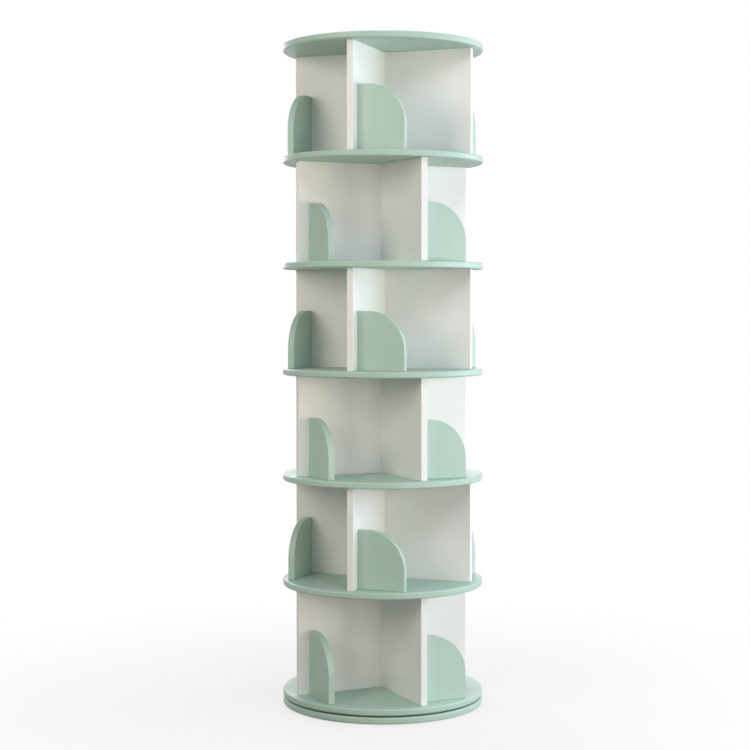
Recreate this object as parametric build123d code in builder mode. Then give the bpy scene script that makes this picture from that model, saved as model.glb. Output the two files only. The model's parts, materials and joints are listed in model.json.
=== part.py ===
from build123d import *
import math
import os

# Six-tier revolving bookcase. A fixed base disc carries a ball-bearing ring, and on that turns the carousel:
# seven round boards with a cross of dividers in each tier, and a quarter-round bookend on every divider arm.
# The crosses of alternate tiers are turned by half of a quarter turn.
# Millimetres. Z is the turning axis, and the origin is where that axis meets the floor.

# Round boards
DISC_D = 460.0                # diameter of the base, of every shelf and of the top
BASE_T = 15.0                 # thickness of the fixed base
SHELF_T = 15.0                # thickness of a shelf
RIM_R = 4.0                   # rounding of the rims
TURN_GAP = 3.5                # running gap between the base and the bottom shelf

# Tiers, from the bottom up
END_TIER_CLEAR = 240.0        # clear height of the lowest and of the highest tier
MID_TIER_CLEAR = 226.5        # clear height of each tier between them
MID_TIER_COUNT = 4
ARM_COUNT = 4                 # divider arms in a cross
STRAIGHT_START = -90.0        # angle of the first arm in tiers 1, 3 and 5
TIER_TWIST = -45.0            # turn of tiers 2, 4 and 6 against the others

# Dividers
DIVIDER_T = 15.0              # thickness of a divider board
DIVIDER_SETBACK = 17.0        # from the shelves' rim to a divider's outer end
DIVIDER_EASE = 1.0            # rounding of a divider's edges
LAP_CLEAR = 0.1               # room on each side of a board in the other board's halving slot

# Bookends
BOOKEND_T = 15.0
BOOKEND_W = 110.0             # from the divider's face to the free upright edge
BOOKEND_H_MID = 132.0         # height in the middle tiers
BOOKEND_H_END = 146.0         # height in the lowest and the highest tier
BOOKEND_CORNER_R = 88.0       # the big rounded upper corner
BOOKEND_SETBACK = 25.0        # from the divider's outer end to the bookend's outer face
BOOKEND_EASE = 1.5            # rounding of a bookend's edges

# Felt pads
PAD_D = 40.0
PAD_T = 2.0
PAD_SETBACK = 40.0            # from the base's rim to a pad's centre
PAD_COUNT = 6

# Ball-bearing ring
BALL_D = 5.0
BALL_COUNT = 36
BALL_PCR = 110.0              # radius of the circle through the ball centres
BALL_CLEAR = 0.3              # between a ball and its groove or cage pocket
RING_W = 20.8                 # radial width of each ring
RING_T = 9.0                  # height of each ring
RING_END_CLEAR = 0.5          # between a ring and the board that it doesn't sit on
RING_SPLIT = 2.4              # radial gap between the two rings
POCKET_CLEAR = 0.5            # between a ring's edge and the pocket in the board
CAGE_T = 1.0                  # wall of the ball cage
CAGE_H = 7.4                  # height of the ball cage

# Bearing screws
RING_SCREW_D = 3.5
RING_SCREW_HEAD_D = 7.0
RING_SCREW_L = 18.0
RING_SCREW_COUNT = 6
ACCESS_HOLE_D = 12.0          # hole in the base through which the outer ring is screwed on

# Furniture screws, driven through a shelf into the end grain of a divider or a bookend
SCREW_D = 5.0
SCREW_HEAD_D = 9.0
SCREW_L = 50.0
SCREW_SETBACK = 63.0          # from a divider's outer end to the screws in it
BOOKEND_SCREW_OUT = 70.0      # from the divider's face to the screw under a bookend
SOCKET_AF = 4.0               # hexagon socket across its flats
SOCKET_DEPTH = 2.5
CAP_D = 12.0                  # plastic cap over a screw head
CAP_T = 1.2
CAP_BEVEL = 0.6
CAP_STEM_D = 3.4
CAP_STEM_L = 2.0

# Wooden dowels
DOWEL_D = 8.0
DOWEL_L = 30.0
DOWEL_IN_FACE = 9.0           # length of a dowel in the face of a board
DOWEL_PCR = 60.0              # radius of the dowels between shelves and dividers
BOOKEND_DOWELS_UP = (35.0, 95.0)   # heights of the dowels in a bookend above its shelf
DOWEL_CHAMFER = 1.0

# Fastener fits
FASTENER_CLEAR = 0.05         # radial room round a screw or a dowel
TIP_CLEAR = 1.0               # room beyond the end of a screw or a dowel
COUNTERSINK_ANGLE = 90.0

# Heights and radii that follow from the sizes above
BASE_TOP = PAD_T + BASE_T
BOTTOM_SHELF_Z = BASE_TOP + TURN_GAP
TIER_CLEARS = [END_TIER_CLEAR] + [MID_TIER_CLEAR] * MID_TIER_COUNT + [END_TIER_CLEAR]
TIER_COUNT = len(TIER_CLEARS)
BOOKEND_HEIGHTS = [BOOKEND_H_END] + [BOOKEND_H_MID] * MID_TIER_COUNT + [BOOKEND_H_END]
SHELF_ZS = [BOTTOM_SHELF_Z + sum(TIER_CLEARS[:level]) + level * SHELF_T for level in range(TIER_COUNT + 1)]
ARM_STEP = 360.0 / ARM_COUNT
ARM_REACH = DISC_D / 2 - DIVIDER_SETBACK
PAD_PCR = DISC_D / 2 - PAD_SETBACK
SCREW_PCR = ARM_REACH - SCREW_SETBACK
BOOKEND_MID_R = ARM_REACH - BOOKEND_SETBACK - BOOKEND_T / 2

BEARING_H = RING_T + RING_END_CLEAR
POCKET_DEPTH = (BEARING_H - TURN_GAP) / 2
BEARING_Z = BASE_TOP - POCKET_DEPTH
BALL_Z = BEARING_Z + BEARING_H / 2
INNER_RING_R = BALL_PCR - RING_SPLIT / 2
OUTER_RING_R = BALL_PCR + RING_SPLIT / 2
INNER_SCREW_PCR = INNER_RING_R - RING_W / 2
OUTER_SCREW_PCR = OUTER_RING_R + RING_W / 2
POCKET_INNER_R = INNER_RING_R - RING_W - POCKET_CLEAR
POCKET_OUTER_R = OUTER_RING_R + RING_W + POCKET_CLEAR
RING_SCREW_START = 180.0 / RING_SCREW_COUNT
OUTER_RING_Z = BEARING_Z + RING_END_CLEAR

STRAIGHT_NAMES = ("front", "right", "back", "left")
TWISTED_NAMES = ("front_left", "front_right", "back_right", "back_left")
SHELF_NAMES = ["bottom_shelf"] + [f"shelf_{level + 1}" for level in range(1, TIER_COUNT)] + ["top_board"]

os.makedirs("parts", exist_ok=True)


def polar(radius, angle, height):
    """A point at a radius and an angle about the turning axis."""
    turn = math.radians(angle)
    return (radius * math.cos(turn), radius * math.sin(turn), height)


def level_places(radius, first_angle, count, height, normal):
    """Evenly spaced places on a level face that looks up (normal 1) or down (normal -1)."""
    return [
        Location(Plane(origin=polar(radius, first_angle + step * 360.0 / count, height),
                       x_dir=(1, 0, 0), z_dir=(0, 0, normal)))
        for step in range(count)
    ]


def side_place(angle, radius, height, normal):
    """A place on an arm's counter-clockwise face, looking away from the divider (normal 1) or at it (-1)."""
    outward = Vector(*polar(1, angle, 0))
    sideways = Vector(*polar(1, angle + 90, 0))
    centre = outward * radius + sideways * (DIVIDER_T / 2) + Vector(0, 0, height)
    return Location(Plane(origin=centre, x_dir=outward, z_dir=sideways * normal))


def tier_start(tier):
    """Angle of a tier's first arm."""
    return STRAIGHT_START + TIER_TWIST * (tier % 2)


def tier_floor(tier):
    """Height of the shelf face that a tier stands on."""
    return SHELF_ZS[tier] + SHELF_T


def bookend_screw_places(tier, height, normal):
    """Places of the screws under a tier's bookends, on a level face."""
    out = DIVIDER_T / 2 + BOOKEND_SCREW_OUT
    lead = math.degrees(math.atan2(out, BOOKEND_MID_R))
    return level_places(math.hypot(out, BOOKEND_MID_R), tier_start(tier) + lead, ARM_COUNT, height, normal)


def screws_from_below(tier):
    """Places of the screws that come up through a tier's floor."""
    face = SHELF_ZS[tier]
    return (level_places(SCREW_PCR, tier_start(tier), ARM_COUNT, face, -1)
            + bookend_screw_places(tier, face, -1))


def screws_from_above(tier):
    """Places of the screws that go down through a tier's ceiling."""
    return level_places(SCREW_PCR, tier_start(tier), ARM_COUNT, SHELF_ZS[tier + 1] + SHELF_T, 1)


def bookend_dowel_places(tier, arm_angle, normal):
    """Places of the dowels between one bookend and its divider."""
    return [side_place(arm_angle, BOOKEND_MID_R, tier_floor(tier) + up, normal) for up in BOOKEND_DOWELS_UP]


def countersink(diameter, head_diameter, depth):
    """Countersunk clearance hole for a screw, at the current places."""
    CounterSinkHole(
        radius=diameter / 2 + FASTENER_CLEAR,
        counter_sink_radius=head_diameter / 2 + FASTENER_CLEAR,
        depth=depth,
        counter_sink_angle=COUNTERSINK_ANGLE,
    )


def pilot(diameter, depth):
    """Blind hole for the end of a screw or a dowel, at the current places."""
    Hole(radius=diameter / 2 + FASTENER_CLEAR, depth=depth + TIP_CLEAR)


def round_board(height, thickness):
    """Add a round board with rounded rims to the current part, its underside at the given height."""
    with BuildSketch(Plane.XY.offset(height)) as outline:
        Circle(DISC_D / 2)
    extrude(outline.sketch, amount=thickness)
    fillet(edges().filter_by(GeomType.CIRCLE), radius=RIM_R)


def flat_ring(inner_r, outer_r, height, thickness, mode=Mode.ADD):
    """Add a flat ring to the current part, or cut it away, from the given height."""
    with BuildSketch(Plane.XY.offset(height)) as outline:
        Circle(outer_r)
        Circle(inner_r, mode=Mode.SUBTRACT)
    extrude(outline.sketch, amount=thickness, mode=mode)


def ball_groove():
    """Cut the groove that the balls run in."""
    with Locations((0, 0, BALL_Z)):
        Torus(BALL_PCR, BALL_D / 2 + BALL_CLEAR, mode=Mode.SUBTRACT)


def ball_places():
    """Places of the ball centres, each looking outward."""
    return [
        Location(Plane(origin=polar(BALL_PCR, ball * 360.0 / BALL_COUNT, BALL_Z),
                       z_dir=polar(1, ball * 360.0 / BALL_COUNT, 0)))
        for ball in range(BALL_COUNT)
    ]


def make_screw(diameter, head_diameter, length, socket_af=0.0):
    """Countersunk screw that points down, with the top of its head at the origin."""
    shank_r = diameter / 2
    head_r = head_diameter / 2
    head_h = (head_r - shank_r) / math.tan(math.radians(COUNTERSINK_ANGLE / 2))
    with BuildPart() as screw:
        with BuildSketch(Plane.XZ):
            with BuildLine():
                Polyline((0, 0), (head_r, 0), (shank_r, -head_h), (shank_r, diameter - length), (0, -length),
                         close=True)
            make_face()
        revolve(axis=Axis.Z)
        if socket_af:
            with BuildSketch():
                RegularPolygon(socket_af / 2, 6, major_radius=False)
            extrude(amount=-SOCKET_DEPTH, mode=Mode.SUBTRACT)
    return screw


# Places of the bearing's screws
INNER_RING_SCREWS = level_places(INNER_SCREW_PCR, 0, RING_SCREW_COUNT, BEARING_Z + RING_T, 1)
OUTER_RING_SCREWS = level_places(OUTER_SCREW_PCR, RING_SCREW_START, RING_SCREW_COUNT, OUTER_RING_Z, -1)

# Fixed base: a round board with a ring-shaped pocket for the bearing in its upper face
with BuildPart() as base_disc:
    round_board(PAD_T, BASE_T)
    flat_ring(POCKET_INNER_R, POCKET_OUTER_R, BEARING_Z, POCKET_DEPTH, mode=Mode.SUBTRACT)
    with Locations(*level_places(INNER_SCREW_PCR, 0, RING_SCREW_COUNT, BEARING_Z, 1)):
        pilot(RING_SCREW_D, RING_SCREW_L - RING_T)
    with Locations(*level_places(OUTER_SCREW_PCR, RING_SCREW_START, 1, BASE_TOP, 1)):
        Hole(radius=ACCESS_HOLE_D / 2)
base_disc.part.label = "base_disc"
export_step(base_disc.part, "parts/base_disc.step")

with BuildPart() as felt_pads:
    with BuildSketch():
        with PolarLocations(PAD_PCR, PAD_COUNT):
            Circle(PAD_D / 2)
    extrude(amount=PAD_T)
felt_pads.part.label = "felt_pads"
export_step(felt_pads.part, "parts/felt_pads.step")

# Bearing: two rings, one inside the other, each with a groove for the balls, and a cage that spaces the balls
with BuildPart() as bearing_inner_ring:
    flat_ring(INNER_RING_R - RING_W, INNER_RING_R, BEARING_Z, RING_T)
    ball_groove()
    with Locations(*INNER_RING_SCREWS):
        countersink(RING_SCREW_D, RING_SCREW_HEAD_D, RING_T)
bearing_inner_ring.part.label = "bearing_inner_ring"
export_step(bearing_inner_ring.part, "parts/bearing_inner_ring.step")

with BuildPart() as bearing_outer_ring:
    flat_ring(OUTER_RING_R, OUTER_RING_R + RING_W, OUTER_RING_Z, RING_T)
    ball_groove()
    with Locations(*OUTER_RING_SCREWS):
        countersink(RING_SCREW_D, RING_SCREW_HEAD_D, RING_T)
bearing_outer_ring.part.label = "bearing_outer_ring"
export_step(bearing_outer_ring.part, "parts/bearing_outer_ring.step")

with BuildPart() as bearing_balls:
    with Locations(*ball_places()):
        Sphere(BALL_D / 2)
bearing_balls.part.label = "bearing_balls"
export_step(bearing_balls.part, "parts/bearing_balls.step")

with BuildPart() as bearing_cage:
    flat_ring(BALL_PCR - CAGE_T / 2, BALL_PCR + CAGE_T / 2, BALL_Z - CAGE_H / 2, CAGE_H)
    with Locations(*ball_places()):
        Cylinder(BALL_D / 2 + BALL_CLEAR, 2 * CAGE_T, mode=Mode.SUBTRACT)
bearing_cage.part.label = "bearing_cage"
export_step(bearing_cage.part, "parts/bearing_cage.step")

ring_screw = make_screw(RING_SCREW_D, RING_SCREW_HEAD_D, RING_SCREW_L)
with BuildPart() as inner_ring_screws:
    with Locations(*INNER_RING_SCREWS):
        add(ring_screw.part)
inner_ring_screws.part.label = "inner_ring_screws"
export_step(inner_ring_screws.part, "parts/inner_ring_screws.step")

with BuildPart() as outer_ring_screws:
    with Locations(*OUTER_RING_SCREWS):
        add(ring_screw.part)
outer_ring_screws.part.label = "outer_ring_screws"
export_step(outer_ring_screws.part, "parts/outer_ring_screws.step")

# Shelves: each is drilled for the tier that stands on it and for the tier that it covers
for level, name in enumerate(SHELF_NAMES):
    underside = SHELF_ZS[level]
    with BuildPart() as shelf:
        round_board(underside, SHELF_T)
        if level < TIER_COUNT:
            with Locations(*screws_from_below(level)):
                countersink(SCREW_D, SCREW_HEAD_D, SHELF_T)
            with Locations(*level_places(DOWEL_PCR, tier_start(level), ARM_COUNT, underside + SHELF_T, 1)):
                pilot(DOWEL_D, DOWEL_IN_FACE)
        if level > 0:
            with Locations(*screws_from_above(level - 1)):
                countersink(SCREW_D, SCREW_HEAD_D, SHELF_T)
            with Locations(*level_places(DOWEL_PCR, tier_start(level - 1), ARM_COUNT, underside, -1)):
                pilot(DOWEL_D, DOWEL_IN_FACE)
        if level == 0:
            flat_ring(POCKET_INNER_R, POCKET_OUTER_R, underside, POCKET_DEPTH, mode=Mode.SUBTRACT)
            pocket_face = underside + POCKET_DEPTH
            ring_screws = level_places(OUTER_SCREW_PCR, RING_SCREW_START, RING_SCREW_COUNT, pocket_face, -1)
            with Locations(*ring_screws):
                pilot(RING_SCREW_D, RING_SCREW_L - RING_T)
    shelf.part.label = name
    export_step(shelf.part, f"parts/{name}.step")

# Dividers: two boards in each tier, halved across each other on the turning axis.
# The first board spans the first and third arms and is notched from above, the second is notched from below.
for tier, clear in enumerate(TIER_CLEARS):
    floor = tier_floor(tier)
    for board, notch_side in enumerate(("notched_above", "notched_below")):
        angle = tier_start(tier) + board * ARM_STEP
        notch_z = floor + clear / 2 if board == 0 else floor
        name = f"tier{tier + 1}_divider_{notch_side}"
        with BuildPart() as divider:
            with BuildSketch(Plane.XY.offset(floor)):
                Rectangle(2 * ARM_REACH, DIVIDER_T, rotation=angle)
            extrude(amount=clear)
            fillet(divider.edges(), radius=DIVIDER_EASE)
            with BuildSketch(Plane.XY.offset(notch_z)):
                Rectangle(DIVIDER_T + 2 * LAP_CLEAR, 2 * DIVIDER_T, rotation=angle)
            extrude(amount=clear / 2, mode=Mode.SUBTRACT)
            for edge_z, normal in ((floor, -1), (floor + clear, 1)):
                with Locations(*level_places(SCREW_PCR, angle, 2, edge_z, normal)):
                    pilot(SCREW_D, SCREW_L - SHELF_T)
                with Locations(*level_places(DOWEL_PCR, angle, 2, edge_z, normal)):
                    pilot(DOWEL_D, DOWEL_L - DOWEL_IN_FACE)
            for arm_angle in (angle, angle + 180):
                with Locations(*bookend_dowel_places(tier, arm_angle, 1)):
                    pilot(DOWEL_D, DOWEL_IN_FACE)
        divider.part.label = name
        export_step(divider.part, f"parts/{name}.step")

# Bookends: one on the counter-clockwise side of each arm, with one big rounded corner
for tier, height in enumerate(BOOKEND_HEIGHTS):
    floor = tier_floor(tier)
    arm_names = TWISTED_NAMES if tier % 2 else STRAIGHT_NAMES
    for arm, arm_name in enumerate(arm_names):
        angle = tier_start(tier) + arm * ARM_STEP
        name = f"tier{tier + 1}_bookend_{arm_name}"
        across_arm = Plane(origin=polar(BOOKEND_MID_R, angle, floor), x_dir=polar(1, angle + 90, 0),
                           z_dir=polar(1, angle, 0))
        screw_under = Plane(origin=across_arm.from_local_coords((DIVIDER_T / 2 + BOOKEND_SCREW_OUT, 0, 0)),
                            x_dir=(1, 0, 0), z_dir=(0, 0, -1))
        with BuildPart() as bookend:
            with BuildSketch(across_arm):
                with BuildLine():
                    FilletPolyline(
                        (DIVIDER_T / 2, height),
                        (DIVIDER_T / 2 + BOOKEND_W, height),
                        (DIVIDER_T / 2 + BOOKEND_W, 0),
                        radius=BOOKEND_CORNER_R,
                    )
                    Polyline((DIVIDER_T / 2, height), (DIVIDER_T / 2, 0), (DIVIDER_T / 2 + BOOKEND_W, 0))
                make_face()
            extrude(amount=BOOKEND_T / 2, both=True)
            fillet(bookend.edges(), radius=BOOKEND_EASE)
            with Locations(*bookend_dowel_places(tier, angle, -1)):
                pilot(DOWEL_D, DOWEL_L - DOWEL_IN_FACE)
            with Locations(screw_under):
                pilot(SCREW_D, SCREW_L - SHELF_T)
        bookend.part.label = name
        export_step(bookend.part, f"parts/{name}.step")

# Furniture screws, and caps over every head but those hidden above the base
all_tiers = range(TIER_COUNT)
shelf_screw = make_screw(SCREW_D, SCREW_HEAD_D, SCREW_L, socket_af=SOCKET_AF)
with BuildPart() as shelf_screws:
    for tier in all_tiers:
        with Locations(*screws_from_below(tier), *screws_from_above(tier)):
            add(shelf_screw.part)
shelf_screws.part.label = "shelf_screws"
export_step(shelf_screws.part, "parts/shelf_screws.step")

with BuildPart() as screw_cap:
    with BuildSketch(Plane.XZ):
        with BuildLine():
            Polyline(
                (0, CAP_T),
                (CAP_D / 2 - CAP_BEVEL, CAP_T),
                (CAP_D / 2, CAP_T - CAP_BEVEL),
                (CAP_D / 2, 0),
                (CAP_STEM_D / 2, 0),
                (CAP_STEM_D / 2, -CAP_STEM_L),
                (0, -CAP_STEM_L),
                close=True,
            )
        make_face()
    revolve(axis=Axis.Z)

with BuildPart() as screw_caps:
    for tier in all_tiers:
        with Locations(*screws_from_above(tier)):
            add(screw_cap.part)
        if tier > 0:
            with Locations(*screws_from_below(tier)):
                add(screw_cap.part)
screw_caps.part.label = "screw_caps"
export_step(screw_caps.part, "parts/screw_caps.step")

# Wooden dowels, pointing up out of the board whose face they are set in
with BuildPart() as dowel:
    with Locations((0, 0, -DOWEL_IN_FACE)):
        Cylinder(DOWEL_D / 2, DOWEL_L, align=(Align.CENTER, Align.CENTER, Align.MIN))
    chamfer(dowel.edges().filter_by(GeomType.CIRCLE), length=DOWEL_CHAMFER)

with BuildPart() as wooden_dowels:
    for tier in all_tiers:
        floor = tier_floor(tier)
        ceiling = floor + TIER_CLEARS[tier]
        start = tier_start(tier)
        with Locations(*level_places(DOWEL_PCR, start, ARM_COUNT, floor, 1)):
            add(dowel.part)
        with Locations(*level_places(DOWEL_PCR, start, ARM_COUNT, ceiling, -1)):
            add(dowel.part)
        for arm in range(ARM_COUNT):
            with Locations(*bookend_dowel_places(tier, start + arm * ARM_STEP, 1)):
                add(dowel.part)
wooden_dowels.part.label = "wooden_dowels"
export_step(wooden_dowels.part, "parts/wooden_dowels.step")
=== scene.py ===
import json
import math

import bpy
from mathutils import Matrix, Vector

# The looks of the six-tier revolving bookcase: painted boards, edge details, floor, light and camera.
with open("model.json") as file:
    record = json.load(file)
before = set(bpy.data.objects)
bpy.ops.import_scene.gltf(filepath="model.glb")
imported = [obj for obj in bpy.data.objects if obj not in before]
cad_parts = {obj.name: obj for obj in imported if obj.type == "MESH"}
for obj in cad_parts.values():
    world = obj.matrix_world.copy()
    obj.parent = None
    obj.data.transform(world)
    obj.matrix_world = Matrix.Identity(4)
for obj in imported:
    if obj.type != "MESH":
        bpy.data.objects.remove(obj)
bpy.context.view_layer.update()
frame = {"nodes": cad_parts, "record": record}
nodes = frame["nodes"]

# ---------------------------------------------------------------- camera
# The camera looks at the turning axis, a little downwards. The lens shift puts the axis right of the picture's
# middle, and the line of sight a little above it.
PICTURE_PX = 750
SIGHT_X_PX = 382.8             # where the line of sight meets the picture, from its left and from its top
SIGHT_Y_PX = 354.8
FOCAL_PX = 1677.0
SENSOR_MM = 36.0
CAMERA_DISTANCE = 3.866        # from the turning axis
CAMERA_HEIGHT = 0.9184
CAMERA_AZIMUTH = math.radians(-25.35)
CAMERA_PITCH = math.radians(1.7)

cam_data = bpy.data.cameras.new("camera")
cam_data.sensor_width = SENSOR_MM
cam_data.lens = FOCAL_PX / PICTURE_PX * SENSOR_MM
cam_data.shift_x = (PICTURE_PX / 2 - SIGHT_X_PX) / PICTURE_PX
cam_data.shift_y = (SIGHT_Y_PX - PICTURE_PX / 2) / PICTURE_PX
camera = bpy.data.objects.new("camera", cam_data)
bpy.context.scene.collection.objects.link(camera)
toward_camera = Vector((math.sin(CAMERA_AZIMUTH), -math.cos(CAMERA_AZIMUTH), 0.0))
camera.location = toward_camera * CAMERA_DISTANCE + Vector((0.0, 0.0, CAMERA_HEIGHT))
camera.rotation_mode = "QUATERNION"
line_of_sight = -toward_camera * math.cos(CAMERA_PITCH) - Vector((0.0, 0.0, math.sin(CAMERA_PITCH)))
camera.rotation_quaternion = line_of_sight.to_track_quat("-Z", "Y")
bpy.context.scene.camera = camera


# ---------------------------------------------------------------- materials
RAMP_RANGE = (0.35, 0.65)      # part of a noise, which lies mostly around 0.5, that a colour runs over
SPAN_RANGE = (0.3, 0.7)        # and the part that a number runs over


def srgb(red, green, blue):
    """A colour written in 0 to 255 as the linear colour that a shader takes."""
    def linear(channel):
        value = channel / 255
        return value / 12.92 if value <= 0.04045 else ((value + 0.055) / 1.055) ** 2.4
    return (linear(red), linear(green), linear(blue), 1.0)


def new_material(name):
    """A material with one Principled shader: (material, node tree, shader)."""
    material = bpy.data.materials.new(name)
    material.use_nodes = True
    tree = material.node_tree
    return material, tree, tree.nodes["Principled BSDF"]


def noise(tree, scale, detail=2.0, stretch=(1.0, 1.0, 1.0), roughness=0.5):
    """Noise in object space; returns its factor socket."""
    place = tree.nodes.new("ShaderNodeTexCoord")
    mapping = tree.nodes.new("ShaderNodeMapping")
    mapping.inputs["Scale"].default_value = stretch
    texture = tree.nodes.new("ShaderNodeTexNoise")
    texture.inputs["Scale"].default_value = scale
    texture.inputs["Detail"].default_value = detail
    texture.inputs["Roughness"].default_value = roughness
    tree.links.new(place.outputs["Object"], mapping.inputs["Vector"])
    tree.links.new(mapping.outputs["Vector"], texture.inputs["Vector"])
    return texture.outputs["Fac"]


def ramp(tree, factor, low, high):
    """Colour that runs from low to high as factor runs over RAMP_RANGE."""
    node = tree.nodes.new("ShaderNodeValToRGB")
    for element, position, colour in zip(node.color_ramp.elements, RAMP_RANGE, (low, high)):
        element.position = position
        element.color = colour
    tree.links.new(factor, node.inputs["Fac"])
    return node.outputs["Color"]


def span(tree, factor, low, high, reach=SPAN_RANGE):
    """Number that runs from low to high as factor runs over reach."""
    node = tree.nodes.new("ShaderNodeMapRange")
    node.inputs["From Min"].default_value = reach[0]
    node.inputs["From Max"].default_value = reach[1]
    node.inputs["To Min"].default_value = low
    node.inputs["To Max"].default_value = high
    tree.links.new(factor, node.inputs["Value"])
    return node.outputs["Result"]


def bump(tree, shader, height, distance, strength):
    """Small relief on the shader, distance in metres."""
    node = tree.nodes.new("ShaderNodeBump")
    node.inputs["Distance"].default_value = distance
    node.inputs["Strength"].default_value = strength
    tree.links.new(height, node.inputs["Height"])
    tree.links.new(node.outputs["Normal"], shader.inputs["Normal"])


def edge_mask(tree):
    """1 along a piece's edges and 0 on its flat faces. At an edge the rounded-off normal leans away from the
    real one."""
    rounded = tree.nodes.new("ShaderNodeBevel")
    rounded.samples = EDGE_SAMPLES
    rounded.inputs["Radius"].default_value = EDGE_REACH
    surface = tree.nodes.new("ShaderNodeNewGeometry")
    agree = tree.nodes.new("ShaderNodeVectorMath")
    agree.operation = "DOT_PRODUCT"
    tree.links.new(rounded.outputs["Normal"], agree.inputs[0])
    tree.links.new(surface.outputs["Normal"], agree.inputs[1])
    return span(tree, agree.outputs["Value"], 0.0, 1.0, EDGE_LEAN)


def multiply(tree, first, second):
    """Product of two numbers; second may be a socket or a plain number."""
    node = tree.nodes.new("ShaderNodeMath")
    node.operation = "MULTIPLY"
    tree.links.new(first, node.inputs[0])
    if isinstance(second, float):
        node.inputs[1].default_value = second
    else:
        tree.links.new(second, node.inputs[1])
    return node.outputs["Value"]


def mix_colour(tree, factor, below, above):
    """below where factor is 0 and above where it is 1; above is a plain colour."""
    node = tree.nodes.new("ShaderNodeMix")
    node.data_type = "RGBA"
    tree.links.new(factor, node.inputs["Factor"])
    tree.links.new(below, node.inputs["A"])
    node.inputs["B"].default_value = above
    return node.outputs["Result"]


def mix_number(tree, factor, below, above):
    """below where factor is 0 and above, a plain number, where it is 1."""
    node = tree.nodes.new("ShaderNodeMix")
    tree.links.new(factor, node.inputs["Factor"])
    tree.links.new(below, node.inputs["A"])
    node.inputs["B"].default_value = above
    return node.outputs["Result"]


EDGE_REACH = 0.0025            # how far in from an edge the paint is paler and glossier: partly rubbed thin, partly a painted highlight
EDGE_SAMPLES = 4
EDGE_LEAN = (0.99, 0.86)       # cosine of the lean where an edge begins, and where it is all edge
EDGE_WEAR_AND_HIGHLIGHT = 0.65               # how much of the paler edge tone (wear and painted highlight together) shows through at most
WEAR_AND_HIGHLIGHT_LEFT = 0.25               # share of that where the noise along an edge is lowest
EDGE_GLOSS = 0.16              # by how much rubbing takes the roughness down
CLOUD_SCALE = 3.5              # noise scales, in features per metre
WEAR_AND_HIGHLIGHT_SCALE = 34.0
SHEEN_SCALE = 22.0
SCUFF_SCALE = 46.0
SCUFF_STRETCH = (1.0, 1.0, 0.35)
SCUFF_RANGE = (0.62, 0.74)     # of that noise, so that only its peaks make a scuff
SCUFF_TONE = 0.3
SCUFF_ROUGHNESS = 0.12         # by how much a scuff takes the roughness up
PEEL_SCALE = 420.0             # orange peel
PEEL_SHARE = 0.7
GRAIN_SCALE = 1500.0           # fine spray over it
GRAIN_SHARE = 0.3
SPRAY_DEPTH = 0.00025
SPRAY_STRENGTH = 0.8


def painted_board(name, low, high, wear_and_highlight, scuffed, rough_low, rough_high):
    """Sprayed satin paint on fibreboard. It clouds slightly and turns paler along the edges, partly as wear where
    hands and books rub it and partly as a painted highlight. It has orange-peel relief, uneven sheen and a few dull
    scuffs."""
    material, tree, shader = new_material(name)
    paint = ramp(tree, noise(tree, CLOUD_SCALE, 4.0), low, high)
    edges = edge_mask(tree)
    rubbed_and_lit = multiply(tree, edges, span(tree, noise(tree, WEAR_AND_HIGHLIGHT_SCALE, 5.0, roughness=0.65), WEAR_AND_HIGHLIGHT_LEFT, 1.0))
    # paler edges: partly paint worn thin, partly a painted highlight along every edge
    paint = mix_colour(tree, multiply(tree, rubbed_and_lit, EDGE_WEAR_AND_HIGHLIGHT), paint, wear_and_highlight)
    scuffs = span(tree, noise(tree, SCUFF_SCALE, 6.0, SCUFF_STRETCH, 0.7), 0.0, 1.0, SCUFF_RANGE)
    paint = mix_colour(tree, multiply(tree, scuffs, SCUFF_TONE), paint, scuffed)
    tree.links.new(paint, shader.inputs["Base Color"])
    sheen = span(tree, noise(tree, SHEEN_SCALE, 4.0), rough_low, rough_high)
    sheen = mix_number(tree, scuffs, sheen, rough_high + SCUFF_ROUGHNESS)
    tree.links.new(mix_number(tree, edges, sheen, rough_low - EDGE_GLOSS), shader.inputs["Roughness"])
    shader.inputs["Specular IOR Level"].default_value = 0.5
    spray = tree.nodes.new("ShaderNodeMath")
    spray.operation = "MULTIPLY_ADD"
    tree.links.new(noise(tree, PEEL_SCALE), spray.inputs[0])
    spray.inputs[1].default_value = PEEL_SHARE
    tree.links.new(multiply(tree, noise(tree, GRAIN_SCALE), GRAIN_SHARE), spray.inputs[2])
    bump(tree, shader, spray.outputs["Value"], SPRAY_DEPTH, SPRAY_STRENGTH)
    return material


# the worn colours below are the paler edge tone: wear plus a painted highlight
mint_paint = painted_board(
    "mint_paint", low=srgb(174, 200, 187), high=srgb(184, 210, 197), wear_and_highlight=srgb(213, 231, 222),
    scuffed=srgb(160, 186, 173), rough_low=0.40, rough_high=0.50)
white_paint = painted_board(
    "white_paint", low=srgb(240, 240, 238), high=srgb(246, 246, 245), wear_and_highlight=srgb(250, 250, 249),
    scuffed=srgb(228, 227, 223), rough_low=0.38, rough_high=0.48)

FINE_STRENGTH = 0.3            # of the relief on metal, plastic and wood; scales and depths as for the paint
METAL_SCALE = 260.0
METAL_DEPTH = 0.00004
PLASTIC_CLOUD_SCALE = 60.0
PLASTIC_SHEEN_SCALE = 400.0
PLASTIC_GRAIN_SCALE = 2500.0
PLASTIC_DEPTH = 0.00003
WOOD_SCALE = 240.0
WOOD_STRETCH = (1.0, 1.0, 0.08)
WOOD_DEPTH = 0.0001
FELT_SCALE = 900.0
FELT_DEPTH = 0.0004
FELT_STRENGTH = 0.6


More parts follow.
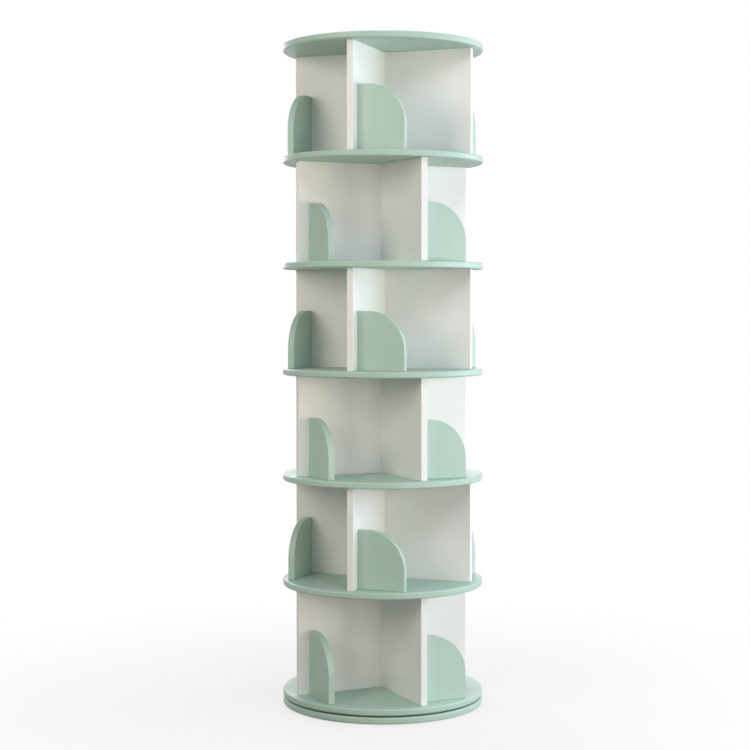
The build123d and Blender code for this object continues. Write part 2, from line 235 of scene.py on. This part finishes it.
def plain_metal(name, low, high, roughness):
    """Bare metal, faintly mottled."""
    material, tree, shader = new_material(name)
    marks = noise(tree, METAL_SCALE, 3.0)
    tree.links.new(ramp(tree, marks, low, high), shader.inputs["Base Color"])
    tree.links.new(span(tree, marks, roughness * 0.8, roughness * 1.2), shader.inputs["Roughness"])
    shader.inputs["Metallic"].default_value = 1.0
    bump(tree, shader, marks, METAL_DEPTH, FINE_STRENGTH)
    return material


def plain_plastic(name, low, high, roughness):
    """Moulded plastic with a fine spark-eroded texture."""
    material, tree, shader = new_material(name)
    tree.links.new(ramp(tree, noise(tree, PLASTIC_CLOUD_SCALE, 3.0), low, high), shader.inputs["Base Color"])
    sheen = span(tree, noise(tree, PLASTIC_SHEEN_SCALE), roughness * 0.9, roughness * 1.1)
    tree.links.new(sheen, shader.inputs["Roughness"])
    bump(tree, shader, noise(tree, PLASTIC_GRAIN_SCALE), PLASTIC_DEPTH, FINE_STRENGTH)
    return material


def beech_wood(name):
    """Plain beech: long grain along Z with short darker flecks."""
    material, tree, shader = new_material(name)
    grain = noise(tree, WOOD_SCALE, 4.0, WOOD_STRETCH)
    tree.links.new(ramp(tree, grain, srgb(196, 160, 116), srgb(222, 190, 148)), shader.inputs["Base Color"])
    tree.links.new(span(tree, grain, 0.5, 0.7), shader.inputs["Roughness"])
    bump(tree, shader, grain, WOOD_DEPTH, FINE_STRENGTH)
    return material


def felt(name):
    """Pressed felt: mottled fibres, no gloss."""
    material, tree, shader = new_material(name)
    fibres = noise(tree, FELT_SCALE, 6.0, roughness=0.7)
    tree.links.new(ramp(tree, fibres, srgb(70, 70, 72), srgb(104, 104, 106)), shader.inputs["Base Color"])
    shader.inputs["Roughness"].default_value = 0.95
    bump(tree, shader, fibres, FELT_DEPTH, FELT_STRENGTH)
    return material


slot_materials = {
    "mint_paint": mint_paint,
    "white_board": white_paint,
    "grey_felt": felt("grey_felt"),
    "ring_aluminium": plain_metal("ring_aluminium", srgb(196, 198, 200), srgb(214, 215, 217), 0.32),
    "ball_steel": plain_metal("ball_steel", srgb(205, 206, 208), srgb(222, 222, 224), 0.12),
    "cage_plastic": plain_plastic("cage_plastic", srgb(232, 231, 226), srgb(240, 239, 235), 0.45),
    "screw_steel": plain_metal("screw_steel", srgb(188, 190, 194), srgb(212, 213, 216), 0.28),
    "cap_plastic": plain_plastic("cap_plastic", srgb(172, 198, 185), srgb(182, 208, 195), 0.4),
    "beech": beech_wood("beech"),
}
slot_of = {part["node"]: part["material_slot"] for part in frame["record"]["subparts"]}
for name, node in nodes.items():
    for material_slot in node.material_slots:
        material_slot.material = slot_materials[slot_of[name]]

# ---------------------------------------------------------------- floor and light
FLOOR_RADIUS = 14.0
FLOOR_SIDES = 96
FADE_START = 0.35              # from the axis, where the floor begins to turn plain white
FADE_END = 1.5
FLOOR_PALE = srgb(232, 229, 224)
FLOOR_BOUNCE = srgb(150, 147, 143)   # what the floor throws back up at the object
FLOOR_GLOW = 0.72              # share of plain white that the camera sees in the floor beside the object


def plain_view(tree):
    """1 where the camera sees a surface, straight or by way of gloss or glass, and 0 where it only passes light on."""
    path = tree.nodes.new("ShaderNodeLightPath")
    seen = path.outputs["Is Camera Ray"]
    for ray in ("Is Glossy Ray", "Is Transmission Ray"):
        either = tree.nodes.new("ShaderNodeMath")
        either.operation = "MAXIMUM"
        tree.links.new(seen, either.inputs[0])
        tree.links.new(path.outputs[ray], either.inputs[1])
        seen = either.outputs["Value"]
    return seen


def floor_material():
    """Pale matt floor that fades, away from the object, into the white background for the camera."""
    material, tree, shader = new_material("floor")
    seen = plain_view(tree)
    tone = tree.nodes.new("ShaderNodeMix")
    tone.data_type = "RGBA"
    tone.inputs["A"].default_value = FLOOR_BOUNCE
    tone.inputs["B"].default_value = FLOOR_PALE
    tree.links.new(seen, tone.inputs["Factor"])
    tree.links.new(tone.outputs["Result"], shader.inputs["Base Color"])
    shader.inputs["Roughness"].default_value = 0.9
    shader.inputs["Specular IOR Level"].default_value = 0.1
    place = tree.nodes.new("ShaderNodeTexCoord")
    length = tree.nodes.new("ShaderNodeVectorMath")
    length.operation = "LENGTH"
    fade = tree.nodes.new("ShaderNodeMapRange")
    fade.interpolation_type = "SMOOTHSTEP"
    fade.inputs["From Min"].default_value = FADE_START
    fade.inputs["From Max"].default_value = FADE_END
    fade.inputs["To Min"].default_value = FLOOR_GLOW
    white = tree.nodes.new("ShaderNodeEmission")
    mix = tree.nodes.new("ShaderNodeMixShader")
    output = tree.nodes["Material Output"]
    tree.links.new(place.outputs["Object"], length.inputs[0])
    tree.links.new(length.outputs["Value"], fade.inputs["Value"])
    tree.links.new(multiply(tree, seen, fade.outputs["Result"]), mix.inputs["Fac"])
    tree.links.new(shader.outputs["BSDF"], mix.inputs[1])
    tree.links.new(white.outputs["Emission"], mix.inputs[2])
    tree.links.new(mix.outputs["Shader"], output.inputs["Surface"])
    return material


bpy.ops.mesh.primitive_circle_add(vertices=FLOOR_SIDES, radius=FLOOR_RADIUS, fill_type="NGON", location=(0, 0, 0))
floor = bpy.context.object
floor.name = "floor"
floor.data.materials.append(floor_material())

WORLD_STRENGTH = 0.2
NEUTRAL = (1.0, 1.0, 1.0)
PALE_COOL = (0.76, 0.87, 1.0)
COOL = (0.68, 0.85, 1.0)
PALE_WARM = (1.0, 0.93, 0.82)
WARM = (1.0, 0.88, 0.79)


def make_world():
    """Even pale light from all round, which the camera sees as plain white."""
    world = bpy.data.worlds.new("studio")
    world.use_nodes = True
    tree = world.node_tree
    background = tree.nodes["Background"]
    background.inputs["Color"].default_value = (1.0, 1.0, 1.0, 1.0)
    strength = tree.nodes.new("ShaderNodeMapRange")
    strength.inputs["To Min"].default_value = WORLD_STRENGTH
    strength.inputs["To Max"].default_value = 1.0
    tree.links.new(plain_view(tree), strength.inputs["Value"])
    tree.links.new(strength.outputs["Result"], background.inputs["Strength"])
    bpy.context.scene.world = world


def softbox(name, azimuth, distance, height, size, power, colour, aim_height):
    """A square area light, at an angle to the right of the camera in degrees, that looks at the turning axis."""
    turn = CAMERA_AZIMUTH + math.radians(azimuth)
    light = bpy.data.lights.new(name, "AREA")
    light.size = size
    light.energy = power
    light.color = colour
    lamp = bpy.data.objects.new(name, light)
    bpy.context.scene.collection.objects.link(lamp)
    lamp.location = Vector((math.sin(turn), -math.cos(turn), 0.0)) * distance + Vector((0.0, 0.0, height))
    aim = Vector((0.0, 0.0, aim_height)) - lamp.location
    lamp.rotation_mode = "QUATERNION"
    lamp.rotation_quaternion = aim.to_track_quat("-Z", "Y")


make_world()
LAMPS = (
    # name, degrees to the right of the camera, distance, height, side, watts, colour, height it looks at
    ("overhead", 20.0, 2.4, 2.9, 1.2, 22.0, PALE_COOL, 0.75),
    ("above", 0.0, 0.2, 3.6, 0.8, 16.0, PALE_WARM, 0.75),
    ("key", 85.0, 3.0, 1.0, 1.2, 36.0, COOL, 0.9),
    ("low_key", 58.0, 3.0, 0.7, 1.2, 23.5, PALE_WARM, 0.9),
    ("rim", 112.0, 3.0, 1.4, 1.2, 23.0, NEUTRAL, 0.75),
    ("front", 25.0, 3.4, 0.7, 1.2, 16.0, WARM, 0.9),
    ("fill", -43.0, 2.4, 1.6, 1.2, 18.5, PALE_WARM, 0.95),
    ("left", -80.0, 3.0, 1.6, 1.2, 3.0, NEUTRAL, 0.9),
    ("back", 180.0, 3.0, 1.9, 1.6, 25.0, NEUTRAL, 0.9),
    ("back_left", -150.0, 3.0, 1.6, 1.2, 24.0, NEUTRAL, 0.9),
)
for lamp_row in LAMPS:
    softbox(*lamp_row)

bpy.context.scene.view_settings.view_transform = "Standard"
